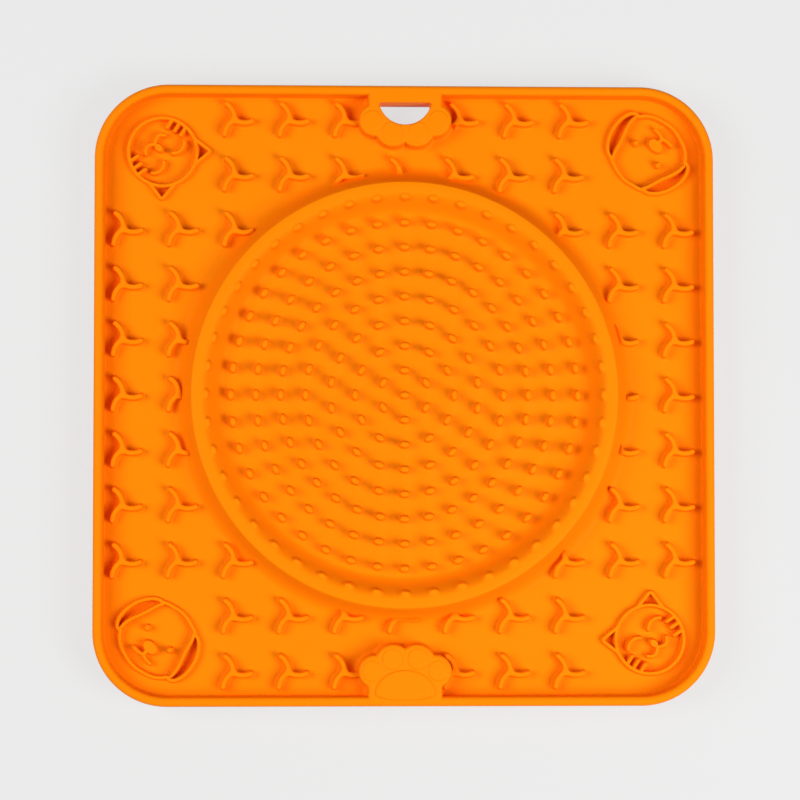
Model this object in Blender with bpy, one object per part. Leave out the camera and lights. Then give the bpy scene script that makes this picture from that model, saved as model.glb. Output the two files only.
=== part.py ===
"""Silicone lick mat for pets: a square tray with a ridged floor, a nubbed dish and suction cups below.

Metres, +Z up. The mat stands on its suction cups at z = 0, its middle is on the Z axis, and the edge
with the hang slot is its rear, towards +Y.
"""

import math

import bmesh
import bpy
from mathutils import Vector

# Mat
MAT_SIDE = 0.2  # over the rim
CORNER_RADIUS = 0.024  # rim's outer corners
RIM_WIDTH = 0.0032
RIM_HEIGHT = 0.0075  # above the floor
RIM_ROUND = 0.0009  # on the rim's top edges
SHEET = 0.0025  # thickness of the floor
FIT_GAP = 0.0003  # between neighbouring pieces
EMBED = 0.0005  # how far a raised shape starts inside its backing

# Bowl in the middle
BOWL_MARGIN = 0.0283  # from the mat's edge to the bowl wall's outer foot
WALL_WIDTH = 0.0134  # bowl wall, foot to foot
WALL_HEIGHT = 0.0075  # crown above the floor
CROWN_INSET = 0.0019  # from the outer foot to the crown
CROWN_WIDTH = 0.0046  # flat of the crown
WALL_FULLNESS = 3.0  # power of the outer side's curve: 2 is an ellipse, more is squarer

# Nubs, in rings
NUB_PITCH = 0.008  # from ring to ring
NUB_LENGTH = 0.0034  # at the foot, along the ring
NUB_WIDTH = 0.0022  # at the foot, across the ring
NUB_DRAFT = 0.0003  # taper on each side
NUB_LEVEL = 0.0038  # tops above the floor
WIDENING_RINGS = 4  # rings that gain six nubs each, counted from the middle
WALL_NUB_INSET = 0.0057  # ring on the bowl wall, from the wall's inner foot
WALL_NUB_HEIGHT = 0.001  # above the slope that carries it

# Three-armed ridges on the floor
RIDGE_PITCH = 0.01783
RIDGE_WIDTH = 0.0014  # at the top
RIDGE_DRAFT = 0.0003
RIDGE_HEIGHT = 0.0032
ARM_REACH = 0.0064  # from the hub to an arm's tip, in a straight line
ARM_TURN = 66.0  # degrees that an arm bends through
REAR_SHIFT = 0.0016  # rear row's right half stands this much further right

# Faces in the corners
FACE_CLEARANCE = 0.0045  # from the head to the rim's inner corner
FACE_LINE = 0.0013  # width of a raised line at its top
FACE_DRAFT = 0.0002
FACE_HEIGHT = 0.002  # lines above the floor
FACE_SEAT = 0.0012  # depth of the pocket that holds a face
HEAD_RADIUS = 0.0111
CAT_EAR = 0.0043  # tip beyond the head
CAT_EAR_HALF = 0.0042
WHISKER = 0.0031
WHISKER_RISE = 0.0006
DOG_EAR = 0.0031  # bulge beyond the head at its low end
DOG_CHEEK = 0.0019  # how far the head draws in beside an ear

# Face drawings, as shares of the head's radius: across, and up towards the ears
CAT_EAR_TURN = 45.0  # degrees from the head's top
CAT_WHISKERS = (-0.48, -0.26, -0.04)
CAT_EYE = (0.415, 0.035)
CAT_EYE_RADIUS = 0.31
CAT_EYE_TURN = 50.0  # degrees each way from its top
CAT_NOSE = ((0, -0.17), 0.105, 0.155)  # middle, half width, half height
CAT_MOUTH = ((-0.39, -0.32), (-0.22, -0.43), (0, -0.34), (0.22, -0.43), (0.39, -0.32))
DOG_EAR_START = 38.0  # degrees from the head's top
DOG_EAR_SPAN = 84.0
DOG_EAR_ROOT = 0.5  # share of the bulge that an ear has at its root
DOG_CHEEK_END = 0.8  # share of the ear at which the drawn-in side is back on the head's circle
DOG_CHEEK_REACH = 0.92  # share of the ear along which that side is drawn
DOG_EYES = (((-0.46, 0.03), 0.08, 0.105), ((0.46, 0.03), 0.08, 0.105))
DOG_NOSE = ((0, -0.325), 0.26, 0.18)
DOG_MOUTH = ((-0.33, -0.65), (-0.16, -0.66), (0, -0.6), (0.16, -0.66), (0.33, -0.65))
DOG_LIP = ((0, -0.42), (0, -0.6))

# Paw-shaped tabs
NECK_INSET = 0.00305  # how far the neck stays in from the outer toe's far side
OUTER_TOE_SIDE = 0.00975  # off the tab's middle line
OUTER_TOE_IN = 0.01125  # in from the mat's edge
OUTER_TOE_RADIUS = 0.0053
INNER_TOE_SIDE = 0.0038
INNER_TOE_IN = 0.01395
INNER_TOE_RADIUS = 0.006
TAB_ROUND = 0.0005  # on the tabs' top edges
TOE_PAD_RADIUS = 0.003
TOE_PAD_EDGE = 0.0012  # from a toe's pad to the toe's far edge
HEEL_PAD_HALF = 0.0095
HEEL_PAD_DEPTH = 0.0075
HEEL_PAD_EDGE = 0.0044  # in from the mat's edge
PAD_HEIGHT = 0.0004  # pads above the tab that carries them
PAD_DRAFT = 0.0002
SLOT_RADIUS = 0.0086
SLOT_EDGE = 0.0059  # slot's flat side, in from the mat's edge
SLOT_DEPTH = 0.0071  # from the flat side to the far end of the round side

# Suction cups under the floor
CUP_COUNT = 4  # along each side
CUP_MARGIN = 0.025  # from the mat's edge to the middle of the nearest cups
CUP_HEIGHT = 0.0035
CUP_RADIUS = 0.009
CUP_LIP = 0.001  # width of the flat lip
CUP_STEM = 0.005  # radius where it leaves the floor
CUP_HOLLOW = 0.0014  # depth of the hollow

ORANGE = (0.96, 0.23, 0.008)
ROUGHNESS = 0.55

# Fineness of round shapes
ROUND_STEPS = 40  # around the bowl
WALL_STEPS = 3  # on its outer side
SLOPE_STEPS = 3  # on its inner side
CORNER_STEPS = 5
ARC_STEPS = 5
NUB_SIDES = 6
SPOT_SIDES = 6
PAD_SIDES = 6
CUP_SIDES = 9
HEAD_STEPS = 18
SMOOTH_ANGLE = 35.0  # degrees between faces that are shaded as one surface

# Sizes that follow
HALF = MAT_SIDE / 2
UNDERSIDE = CUP_HEIGHT
FLOOR = UNDERSIDE + SHEET
RIM_TOP = FLOOR + RIM_HEIGHT
SHEET_HALF = HALF - RIM_WIDTH - FIT_GAP
SHEET_CORNER = CORNER_RADIUS - RIM_WIDTH - FIT_GAP
BOWL_RADIUS = HALF - BOWL_MARGIN
CROWN_OUTER = BOWL_RADIUS - CROWN_INSET
CROWN_INNER = CROWN_OUTER - CROWN_WIDTH
DISH_RADIUS = BOWL_RADIUS - WALL_WIDTH
HEAD_OUTER = HEAD_RADIUS + FACE_LINE / 2 + FACE_DRAFT
NECK_HALF = OUTER_TOE_SIDE + OUTER_TOE_RADIUS - NECK_INSET
ARM_BASE = RIDGE_WIDTH / 2 + RIDGE_DRAFT


def clear_scene():
    for old in list(bpy.data.objects):
        bpy.data.objects.remove(old, do_unlink=True)


def silicone(name):
    material = bpy.data.materials.new(name)
    material.use_nodes = True
    shader = material.node_tree.nodes["Principled BSDF"]
    shader.inputs["Base Color"].default_value = (*ORANGE, 1.0)
    shader.inputs["Roughness"].default_value = ROUGHNESS
    shader.inputs["Metallic"].default_value = 0.0
    return material


def add_piece(name, shape):
    """A visible sub-part made from a bmesh, under the mat's empty."""
    mesh = bpy.data.meshes.new(name)
    shape.to_mesh(mesh)
    shape.free()
    mesh.shade_smooth()
    mesh.set_sharp_from_angle(angle=math.radians(SMOOTH_ANGLE))
    mesh.materials.append(silicone(name))
    piece = bpy.data.objects.new(name, mesh)
    bpy.context.scene.collection.objects.link(piece)
    piece.parent = bpy.data.objects["lick_mat"]
    return piece


def add_tool(name, shape):
    """A shape that only cuts or joins another one."""
    tool = add_piece(name, shape)
    tool.hide_render = True
    tool.display_type = "WIRE"
    return tool


def combine(piece, operation, tool, overlaps_itself=False):
    boolean = piece.modifiers.new(tool.name, "BOOLEAN")
    boolean.operation = operation
    boolean.solver = "EXACT"
    boolean.use_self = overlaps_itself
    boolean.object = tool


def outward(start, end):
    """The unit normal to the right of a step, which points out of a counter-clockwise loop."""
    step = (end - start).normalized()
    return Vector((step.y, -step.x))


def mitred(before, point, after, distance):
    """A corner moved to the right of its path, so that both its edges move by the distance."""
    first = outward(before, point)
    second = outward(point, after)
    return point + (first + second) * (distance / (1 + first.dot(second)))


def grown(loop, distance):
    """A closed counter-clockwise loop moved outwards, square to its edges."""
    before = loop[-1:] + loop[:-1]
    after = loop[1:] + loop[:1]
    return [mitred(a, b, c, distance) for a, b, c in zip(before, loop, after)]


def ribbon(path, half):
    """The outline of an open line of even width, with a blunt point at each end."""
    first = (path[0] - path[1]).normalized() * half
    last = (path[-1] - path[-2]).normalized() * half
    run = [path[0] + first] + path + [path[-1] + last]
    inner = list(zip(run, run[1:], run[2:]))
    right = [mitred(a, b, c, half) for a, b, c in inner]
    left = [mitred(a, b, c, -half) for a, b, c in inner]
    return right + run[-1:] + left[::-1] + run[:1]


def circle(radius, steps):
    return arc((0, 0), radius, 0, 2 * math.pi, steps)[:-1]


def oval(half_x, half_y, steps, centre=(0, 0)):
    return [Vector((centre[0] + p.x * half_x, centre[1] + p.y * half_y)) for p in circle(1, steps)]


def arc(centre, radius, start, end, steps=ARC_STEPS):
    """Points of an arc from one angle to another, in radians, both ends included."""
    turns = [start + (end - start) * i / steps for i in range(steps + 1)]
    return [Vector((centre[0] + radius * math.cos(a), centre[1] + radius * math.sin(a))) for a in turns]


def rounded_square(half, radius):
    middle = half - radius
    loop = []
    for quarter in range(4):
        start = quarter * math.pi / 2
        corner = (
            middle * math.copysign(1, math.cos(start + math.pi / 4)),
            middle * math.copysign(1, math.sin(start + math.pi / 4)),
        )
        loop += arc(corner, radius, start, start + math.pi / 2, CORNER_STEPS)
    return loop


def skin(shape, loops, wrap=False, low_cap=True, high_cap=True):
    """Skin over (loop, height) pairs with equal point counts: capped ends, or a ring if wrapped."""
    rows = [[shape.verts.new((p.x, p.y, z)) for p in loop] for loop, z in loops]
    pairs = list(zip(rows, rows[1:]))
    if wrap:
        pairs.append((rows[-1], rows[0]))
    if low_cap and not wrap:
        shape.faces.new(rows[0][::-1])
    if high_cap and not wrap:
        shape.faces.new(rows[-1])
    for lower, upper in pairs:
        for i in range(len(lower)):
            shape.faces.new((lower[i - 1], lower[i], upper[i], upper[i - 1]))


def prism(shape, loop, low, high):
    skin(shape, [(loop, low), (loop, high)])


def turned(shape, profile, steps, **ends):
    """Skin over circles given as (radius, height)."""
    skin(shape, [(circle(r, steps), z) for r, z in profile], **ends)


def wall_slope(radius):
    """Height above the floor of the bowl wall's inner side: half a cosine wave from dish to crown."""
    share = (radius - DISH_RADIUS) / (CROWN_INNER - DISH_RADIUS)
    return WALL_HEIGHT * (1 - math.cos(math.pi * share)) / 2


def nub_count(ring):
    """Nubs in a ring: one in the middle, six more each ring near it, four more each ring further out."""
    if ring == 0:
        return 1
    if ring <= WIDENING_RINGS:
        return 6 * ring
    return 6 * WIDENING_RINGS + 4 * (ring - WIDENING_RINGS + 1)


def add_nub_ring(shape, radius, count, low, high, low_cap):
    """Oval tapered nubs, long side along the ring, the first one on the rear side."""
    for i in range(count):
        turn = math.pi / 2 + 2 * math.pi * i / count
        across = Vector((math.cos(turn), math.sin(turn)))
        along = Vector((across.y, -across.x))
        loops = []
        for draft, z in ((0, low), (NUB_DRAFT, high)):
            foot = oval(NUB_LENGTH / 2 - draft, NUB_WIDTH / 2 - draft, NUB_SIDES)
            loops.append(([across * radius + along * p.x + across * p.y for p in foot], z))
        skin(shape, loops, low_cap=low_cap)


def three_arms(hub, half):
    """Outline of three bent arms that meet at a hub: each is an arc, and they are 120 degrees apart."""
    turn = math.radians(ARM_TURN)
    radius = ARM_REACH / (2 * math.sin(turn / 2))
    loop = []
    for arm in range(3):
        start = math.radians(120 * arm) - turn / 2
        corner = start - math.pi / 3
        loop.append(hub + Vector((math.cos(corner), math.sin(corner))) * (half / math.sin(math.pi / 3)))
        path = []
        for share in (0.5, 1.0):
            heading = start + turn * share
            point = Vector((math.sin(heading) - math.sin(start), math.cos(start) - math.cos(heading)))
            side = Vector((math.sin(heading), -math.cos(heading))) * half
            path.append((hub + point * radius, side))
        loop += [point + side for point, side in path]
        loop += [point - side for point, side in reversed(path)]
    return loop


def ridge_hubs():
    """Hubs of the ridges that the bowl, the faces and the tabs leave room for."""
    reach_x = ARM_REACH * (1 + math.cos(math.pi / 3)) / 2  # half of the three arms' width
    reach_y = ARM_REACH * math.sin(math.pi / 3)
    most = int((SHEET_HALF - reach_y - ARM_BASE) / RIDGE_PITCH)
    faces = [face_centre(right, rear) for right in (-1, 1) for rear in (-1, 1)]
    hubs = []
    for row in range(-most, most + 1):
        for column in range(-most, most + 1):
            middle = Vector((column, row)) * RIDGE_PITCH
            on_tab = abs(middle.x) < NECK_HALF and abs(row) == most
            in_bowl = middle.length + ARM_REACH / 2 < BOWL_RADIUS
            on_face = any((middle - f).length < HEAD_OUTER + CAT_EAR + ARM_REACH for f in faces)
            if on_tab or in_bowl or on_face:
                continue
            shift = REAR_SHIFT if row == most and column > 0 else 0
            hubs.append(middle + Vector((shift - ARM_REACH + reach_x, 0)))
    return hubs


def face_centre(right, rear):
    """Middle of the head in a corner: right and rear are 1 or -1."""
    inset = CORNER_RADIUS - RIM_WIDTH - FACE_CLEARANCE - HEAD_OUTER
    return Vector((right, rear)) * (HALF - CORNER_RADIUS + inset / math.sqrt(2))


def cat_ear_half_turn():
    return math.asin(CAT_EAR_HALF / HEAD_RADIUS)


def cat_outline():
    """Head and ears as one loop: a circle with two pointed ears."""
    left = math.radians(90 + CAT_EAR_TURN)
    right = math.radians(90 - CAT_EAR_TURN)
    half = cat_ear_half_turn()
    tip = HEAD_RADIUS + CAT_EAR
    loop = arc((0, 0), HEAD_RADIUS, right + half, left - half, HEAD_STEPS // 6)
    loop.append(Vector((math.cos(left), math.sin(left))) * tip)
    loop += arc((0, 0), HEAD_RADIUS, left + half, right - half + 2 * math.pi, HEAD_STEPS // 2)
    loop.append(Vector((math.cos(right), math.sin(right))) * tip)
    return loop


def cat_lines():
    """The cat's other lines as paths: ear roots, whiskers, closed eyes and mouth."""
    paths = [on_head(CAT_MOUTH)]
    half = cat_ear_half_turn()
    eye_turn = math.radians(CAT_EYE_TURN)
    for side in (-1, 1):
        ear = math.radians(90 - side * CAT_EAR_TURN)
        paths.append(arc((0, 0), HEAD_RADIUS, ear - half, ear + half, 2))
        for share in CAT_WHISKERS:
            root = Vector((side * math.sqrt(1 - share**2), share)) * HEAD_RADIUS
            paths.append([root, root + Vector((-side * WHISKER, WHISKER_RISE))])
        eye = (side * CAT_EYE[0], CAT_EYE[1])
        paths.append(on_head(arc(eye, CAT_EYE_RADIUS, math.pi / 2 - eye_turn, math.pi / 2 + eye_turn, 3)))
    return paths


def dog_ear_bulge(turn):
    """An ear's far side beyond the head, for an angle from its top: wider towards a blunt low end."""
    share = (abs(math.degrees(turn)) - DOG_EAR_START) / DOG_EAR_SPAN
    if not 0 < share < 1:
        return 0
    widening = DOG_EAR_ROOT + (1 - DOG_EAR_ROOT) * share
    return DOG_EAR * widening * math.sqrt(1 - (2 * share - 1) ** 6)


def dog_outline():
    """Head and ears as one loop: a circle that bulges at both sides."""
    turns = [math.pi - 2 * math.pi * i / HEAD_STEPS for i in range(HEAD_STEPS)]
    radii = [HEAD_RADIUS + dog_ear_bulge(t) for t in turns]
    return [Vector((math.sin(t), math.cos(t))) * r for t, r in zip(turns, radii)]


def dog_lines():
    """The dog's other lines as paths: the head beside its ears, and the mouth."""
    paths = [on_head(DOG_MOUTH), on_head(DOG_LIP)]
    steps = HEAD_STEPS // 4
    for side in (-1, 1):
        shares = [DOG_CHEEK_REACH * i / steps for i in range(steps + 1)]
        turns = [math.radians(DOG_EAR_START + DOG_EAR_SPAN * share) for share in shares]
        radii = [HEAD_RADIUS - DOG_CHEEK * math.sin(math.pi * share / DOG_CHEEK_END) for share in shares]
        paths.append([Vector((side * math.sin(t), math.cos(t))) * r for t, r in zip(turns, radii)])
    return paths


def on_head(points):
    """Points given as shares of the head's radius, at their real size."""
    return [Vector(p) * HEAD_RADIUS for p in points]


def spot(middle, half_width, half_height):
    """An eye or a nose: an oval given in shares of the head's radius."""
    return on_head(oval(half_width, half_height, SPOT_SIDES, middle))


def set_in_corner(piece, right, rear):
    """Place a face in a corner, with the top of the head towards the mat's middle."""
    centre = face_centre(right, rear)
    piece.location = (*centre, 0)
    piece.rotation_euler.z = math.atan2(centre.x, -centre.y)


def add_face(name, right, rear, outline, lines, spots):
    """A plate the shape of the head with the drawing raised on it; returns the tool for its pocket."""
    half = FACE_LINE / 2
    low = FLOOR - EMBED
    high = FLOOR + FACE_HEIGHT
    edge = grown(outline, half + FACE_DRAFT)
    plate = bmesh.new()
    prism(plate, edge, FLOOR - FACE_SEAT + FIT_GAP, FLOOR)
    drawing = bmesh.new()
    tops = [(edge, low), (grown(outline, half), high), (grown(outline, -half), high)]
    skin(drawing, tops + [(grown(outline, -half - FACE_DRAFT), low)], wrap=True)
    raised = [(ribbon(path, half + FACE_DRAFT), ribbon(path, half)) for path in lines]
    raised += [(grown(shape, FACE_DRAFT), shape) for shape in spots]
    for foot, top in raised:
        skin(drawing, [(foot, low), (top, high)])
    pocket = bmesh.new()
    prism(pocket, grown(edge, FIT_GAP), FLOOR - FACE_SEAT, RIM_TOP)
    face = add_piece(name, plate)
    drawing_tool = add_tool(name + "_drawing", drawing)
    pocket_tool = add_tool(name + "_pocket", pocket)
    for placed in (face, drawing_tool, pocket_tool):
        set_in_corner(placed, right, rear)
    combine(face, "UNION", drawing_tool, overlaps_itself=True)
    return pocket_tool


def crossing(first, first_radius, second, second_radius):
    """Where two circles cross, on the left of the line from the first to the second."""
    between = second - first
    along = (between.length_squared + first_radius**2 - second_radius**2) / (2 * between.length)
    off = math.sqrt(first_radius**2 - along**2)
    unit = between.normalized()
    return first + unit * along + Vector((-unit.y, unit.x)) * off


def angle_from(centre, point):
    return math.atan2(point.y - centre.y, point.x - centre.x)


def paw_outline(grow, back):
    """A paw's right side then its left: x off the middle line, y in from the mat's edge."""
    outer = Vector((OUTER_TOE_SIDE, OUTER_TOE_IN))
    inner = Vector((INNER_TOE_SIDE, INNER_TOE_IN))
    outer_radius = OUTER_TOE_RADIUS + grow
    inner_radius = INNER_TOE_RADIUS + grow
    neck = NECK_HALF + grow
    side = Vector((neck, outer.y - math.sqrt(outer_radius**2 - (neck - outer.x) ** 2)))
    notch = crossing(inner, inner_radius, outer, outer_radius)
    top = Vector((0, inner.y + math.sqrt(inner_radius**2 - inner.x**2)))
    right = [Vector((neck, back))]
    right += arc(outer, outer_radius, angle_from(outer, side), angle_from(outer, notch))
    right += arc(inner, inner_radius, angle_from(inner, notch), angle_from(inner, top))[1:]
    left = [Vector((-p.x, p.y)) for p in reversed(right[:-1])]
    return right + left


def set_at_edge(piece, rear):
    """Place a shape that is drawn from the mat's edge inwards at the rear (1) or front (-1) edge."""
    piece.location.y = rear * HALF
    piece.rotation_euler.z = math.pi if rear > 0 else 0


def slot_outline():
    """The hang slot: a circle cut off flat on the side of the mat's edge."""
    centre = Vector((0, SLOT_EDGE + SLOT_DEPTH - SLOT_RADIUS))
    dip = math.asin((SLOT_EDGE - centre.y) / SLOT_RADIUS)
    return arc(centre, SLOT_RADIUS, dip, math.pi - dip, 2 * ARC_STEPS)


def toe_pads():
    """Outlines of the four toes' pads, each at the far side of its toe."""
    push = TOE_PAD_EDGE + TOE_PAD_RADIUS
    outer_side = OUTER_TOE_SIDE + OUTER_TOE_RADIUS - push
    inner_in = INNER_TOE_IN + INNER_TOE_RADIUS - push
    pads = []
    for side in (-1, 1):
        for middle in ((side * outer_side, OUTER_TOE_IN), (side * INNER_TOE_SIDE, inner_in)):
            pads.append(oval(TOE_PAD_RADIUS, TOE_PAD_RADIUS, PAD_SIDES, middle))
    return pads


def heel_pad():
    """Outline of the heel's pad: half an oval, its flat side towards the mat's edge."""
    half = arc((0, 0), 1, 0, math.pi)
    return [Vector((p.x * HEEL_PAD_HALF, HEEL_PAD_EDGE + p.y * HEEL_PAD_DEPTH)) for p in half]


def raise_pads(tab, rear, pads):
    """Low pads with sloping sides on a tab's top."""
    raised = bmesh.new()
    for pad in pads:
        skin(raised, [(grown(pad, PAD_DRAFT), RIM_TOP - EMBED), (pad, RIM_TOP + PAD_HEIGHT)])
    pad_tool = add_tool(tab.name + "_pads", raised)
    set_at_edge(pad_tool, rear)
    combine(tab, "UNION", pad_tool)


def add_tab(name, rear):
    """A paw-shaped block through the floor, level with the rim; returns it and the tool for its room."""
    back = RIM_WIDTH + FIT_GAP
    full = paw_outline(0, back)
    block = bmesh.new()
    skin(block, [(full, UNDERSIDE), (full, RIM_TOP - TAB_ROUND), (paw_outline(-TAB_ROUND, back), RIM_TOP)])
    room = bmesh.new()
    prism(room, paw_outline(FIT_GAP, 0), 0, RIM_TOP)
    tab = add_piece(name, block)
    room_tool = add_tool(name + "_room", room)
    set_at_edge(tab, rear)
    set_at_edge(room_tool, rear)
    return tab, room_tool


def cut_hang_slot(tab, rear):
    slot = bmesh.new()
    prism(slot, slot_outline(), 0, RIM_TOP + RIM_HEIGHT)
    slot_tool = add_tool("hang_slot", slot)
    set_at_edge(slot_tool, rear)
    combine(tab, "DIFFERENCE", slot_tool)


def add_rim():
    """A wall of even width swept round the square, with its top edges taken off."""
    outer = rounded_square(HALF, CORNER_RADIUS)
    inner = grown(outer, -RIM_WIDTH)
    shape = bmesh.new()
    profile = [(inner, UNDERSIDE), (outer, UNDERSIDE), (outer, RIM_TOP - RIM_ROUND)]
    profile.append((grown(outer, -RIM_ROUND), RIM_TOP))
    profile.append((grown(inner, RIM_ROUND), RIM_TOP))
    profile.append((inner, RIM_TOP - RIM_ROUND))
    skin(shape, profile, wrap=True)
    add_piece("rim", shape)


def add_floor(rooms):
    """The floor with its ridges, less the bowl's hole and the room for what is set into it."""
    plate = bmesh.new()
    prism(plate, rounded_square(SHEET_HALF, SHEET_CORNER), UNDERSIDE, FLOOR)
    floor = add_piece("floor_sheet", plate)
    ridges = bmesh.new()
    for hub in ridge_hubs():
        feet = three_arms(hub, ARM_BASE)
        tops = three_arms(hub, RIDGE_WIDTH / 2)
        skin(ridges, [(feet, FLOOR - EMBED), (tops, FLOOR + RIDGE_HEIGHT)])
    combine(floor, "UNION", add_tool("ridges", ridges))
    hole = bmesh.new()
    turned(hole, [(BOWL_RADIUS + FIT_GAP, 0), (BOWL_RADIUS + FIT_GAP, RIM_TOP)], ROUND_STEPS)
    for room in [add_tool("bowl_room", hole)] + rooms:
        combine(floor, "DIFFERENCE", room)


def add_bowl_wall():
    """A turned ring: steep outside, a flat crown, and a slope into the dish with nubs on its shoulder."""
    outer_side = []
    for i in range(WALL_STEPS):
        turn = math.pi / 2 * i / WALL_STEPS
        across = CROWN_INSET * math.cos(turn) ** (2 / WALL_FULLNESS)
        rise = (SHEET + WALL_HEIGHT) * math.sin(turn) ** (2 / WALL_FULLNESS)
        outer_side.append((CROWN_OUTER + across, UNDERSIDE + rise))
    outer_side.append((CROWN_OUTER, FLOOR + WALL_HEIGHT))
    inner_side = []
    for i in range(SLOPE_STEPS + 1):
        radius = CROWN_INNER + (DISH_RADIUS - CROWN_INNER) * i / SLOPE_STEPS
        inner_side.append((radius, FLOOR + wall_slope(radius)))
    shape = bmesh.new()
    turned(shape, [(DISH_RADIUS, UNDERSIDE)] + outer_side + inner_side, ROUND_STEPS, wrap=True)
    wall = add_piece("bowl_wall", shape)
    radius = DISH_RADIUS + WALL_NUB_INSET
    high = FLOOR + wall_slope(radius) + WALL_NUB_HEIGHT
    nubs = bmesh.new()
    add_nub_ring(nubs, radius, nub_count(dish_rings()), FLOOR, high, low_cap=True)
    combine(wall, "UNION", add_tool("wall_nubs", nubs))


def dish_rings():
    """How many rings of nubs the dish has room for, the single middle nub included."""
    return int((DISH_RADIUS - FIT_GAP - NUB_WIDTH / 2) / NUB_PITCH) + 1


def add_dish():
    """A disc with rings of nubs on it: its top is filled in round their feet."""
    radius = DISH_RADIUS - FIT_GAP
    shape = bmesh.new()
    turned(shape, [(radius, UNDERSIDE), (radius, FLOOR)], ROUND_STEPS, high_cap=False)
    for ring in range(dish_rings()):
        add_nub_ring(shape, ring * NUB_PITCH, nub_count(ring), FLOOR, FLOOR + NUB_LEVEL, low_cap=False)
    open_edges = [edge for edge in shape.edges if edge.is_boundary]
    bmesh.ops.triangle_fill(shape, edges=open_edges, normal=(0, 0, 1))
    add_piece("lick_dish", shape)


def add_cups():
    """Suction cups in a square pattern: a short stem, a flared skirt and a flat lip."""
    profile = [
        (CUP_STEM, CUP_HOLLOW),
        (CUP_RADIUS - CUP_LIP, 0),
        (CUP_RADIUS, 0),
        (CUP_STEM, (CUP_HEIGHT + CUP_HOLLOW) / 2),
        (CUP_STEM, CUP_HEIGHT - FIT_GAP),
    ]
    reach = HALF - CUP_MARGIN
    pitch = 2 * reach / (CUP_COUNT - 1)
    for i in range(CUP_COUNT * CUP_COUNT):
        shape = bmesh.new()
        turned(shape, profile, CUP_SIDES)
        cup = add_piece(f"suction_cup_{i + 1:02d}", shape)
        cup.location = (pitch * (i % CUP_COUNT) - reach, pitch * (i // CUP_COUNT) - reach, 0)


def main():
    clear_scene()
    bpy.context.scene.collection.objects.link(bpy.data.objects.new("lick_mat", None))
    hang_tab, hang_room = add_tab("hang_tab", 1)
    raise_pads(hang_tab, 1, toe_pads())
    cut_hang_slot(hang_tab, 1)
    paw_tab, paw_room = add_tab("paw_tab", -1)
    raise_pads(paw_tab, -1, toe_pads() + [heel_pad()])
    rooms = [hang_room, paw_room]
    cat = (cat_outline(), cat_lines(), [spot(*CAT_NOSE)])
    dog = (dog_outline(), dog_lines(), [spot(*shape) for shape in (*DOG_EYES, DOG_NOSE)])
    rooms.append(add_face("cat_face_rear_left", -1, 1, *cat))
    rooms.append(add_face("cat_face_front_right", 1, -1, *cat))
    rooms.append(add_face("dog_face_rear_right", 1, 1, *dog))
    rooms.append(add_face("dog_face_front_left", -1, -1, *dog))
    add_rim()
    add_floor(rooms)
    add_bowl_wall()
    add_dish()
    add_cups()


main()
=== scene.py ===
import math

import bpy
import numpy as np
from mathutils import Matrix, Vector
from mathutils.geometry import delaunay_2d_cdt


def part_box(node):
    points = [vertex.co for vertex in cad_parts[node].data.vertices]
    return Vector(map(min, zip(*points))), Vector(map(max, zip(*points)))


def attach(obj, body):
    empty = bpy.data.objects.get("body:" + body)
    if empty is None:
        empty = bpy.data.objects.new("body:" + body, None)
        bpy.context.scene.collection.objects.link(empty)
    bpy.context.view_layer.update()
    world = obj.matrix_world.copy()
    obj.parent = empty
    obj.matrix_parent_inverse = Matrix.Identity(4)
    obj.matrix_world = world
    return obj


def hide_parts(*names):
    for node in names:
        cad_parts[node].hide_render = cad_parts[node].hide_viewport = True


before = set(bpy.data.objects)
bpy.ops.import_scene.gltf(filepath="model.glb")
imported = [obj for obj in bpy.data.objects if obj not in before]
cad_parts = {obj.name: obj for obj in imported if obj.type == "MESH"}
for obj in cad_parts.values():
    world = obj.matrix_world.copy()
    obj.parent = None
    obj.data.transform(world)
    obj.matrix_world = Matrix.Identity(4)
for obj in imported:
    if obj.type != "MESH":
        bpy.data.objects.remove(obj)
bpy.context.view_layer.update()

# Shapes are worked out in millimetres in the CAD's frame and put into meshes in metres.
mm = 0.001


def boxOf(node):
    # lowest and highest corner of a CAD node in millimetres
    low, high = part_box(node)
    return np.array(low) / mm, np.array(high) / mm


rimLow, rimHigh = boxOf("rim")
matHalf = rimHigh[0]
underside = rimLow[2]
rimTop = rimHigh[2]
bowlRadius = boxOf("bowl_wall")[1][0]
dishRadius = boxOf("lick_dish")[1][0]
nubTop = boxOf("lick_dish")[1][2]
ridgeTop = boxOf("floor_sheet")[1][2]
faceTop = boxOf("cat_face_rear_left")[1][2]

mat = {
    "cornerRadius": 24.0,
    "sheet": 2.5,  # thickness of the floor
    "tuck": 0.003,  # how far a skirt's end lies under the floor it runs out on
}
floorLevel = underside + mat["sheet"]
deepLevel = underside + mat["tuck"]  # hidden bottoms lie just over the mat's own
print("frame loaded, mat", round(2 * matHalf, 1), "mm wide")


def together(*parts):
    # arrays side by side on a new last axis, as a point's coordinates or a face's corners
    return np.stack(np.broadcast_arrays(*parts), axis=-1)


def gridFaces(rows, cols, wrapRows=False, wrapCols=False):
    # quads between neighbouring points of a grid that is numbered row by row
    r = np.arange(rows if wrapRows else rows - 1)
    c = np.arange(cols if wrapCols else cols - 1)
    a, b = np.meshgrid(r, c, indexing="ij")
    a2 = (a + 1) % rows
    b2 = (b + 1) % cols
    return together(a * cols + b, a * cols + b2, a2 * cols + b2, a2 * cols + b).reshape(-1, 4)


def fanFaces(loop, hub):
    # triangles from each step of a closed loop of point numbers to one hub point
    return together(loop, np.roll(loop, -1), hub)


def wallFaces(start, count, drop):
    # quads from a closed loop of points to its copy, whose numbers lie further on by the drop
    here = start + np.arange(count)
    onward = np.roll(here, -1)
    return together(here, here + drop, onward + drop, onward)


def repeatFaces(faces, starts):
    # one shape's faces for each of its copies, given the number of each copy's first point
    return (faces[None] + starts[:, None, None]).reshape(-1, faces.shape[1])


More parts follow.
